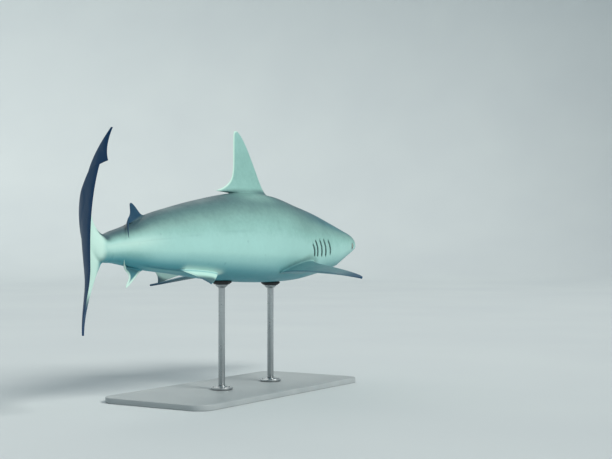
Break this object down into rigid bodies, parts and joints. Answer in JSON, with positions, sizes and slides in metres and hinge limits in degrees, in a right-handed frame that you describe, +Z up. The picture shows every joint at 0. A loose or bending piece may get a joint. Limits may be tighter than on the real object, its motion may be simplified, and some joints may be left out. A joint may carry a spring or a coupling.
{
  "type": "grey reef shark model on a display stand",
  "caption": "Life-size still model of a swimming grey reef shark, tail swept to its right, held over a flat base by short rods.",
  "frame": {"origin": "centre of the stand base's underside, on the floor", "axes": "+X the way the shark's trunk and head point, +Y the shark's left, +Z up"},
  "size_m": [1.4061, 0.7198, 0.7222],
  "materials": {
    "skin": "satin shark skin, grey above and white below, painted on a cast model",
    "eye": "glossy",
    "stand_base": "satin",
    "stand_steel": "brushed",
    "stand_pad": "matt"
  },
  "bodies": {
    "root": {"head": "skin", "trunk": "skin", "tail": "skin", "peduncle": "skin", "first_dorsal_fin": "skin", "second_dorsal_fin": "skin", "anal_fin": "skin", "pectoral_fin_left": "skin", "pectoral_fin_right": "skin", "pelvic_fin_left": "skin", "pelvic_fin_right": "skin", "caudal_fin_upper_lobe": "skin", "caudal_fin_lower_lobe": "skin", "eye_left": "eye", "eye_right": "eye", "stand_base": "stand_base", "stand_flange_front": "stand_steel", "stand_flange_rear": "stand_steel", "stand_rod_front": "stand_steel", "stand_rod_rear": "stand_steel", "stand_pad_front": "stand_pad", "stand_pad_rear": "stand_pad"}
  },
  "joints": []
}
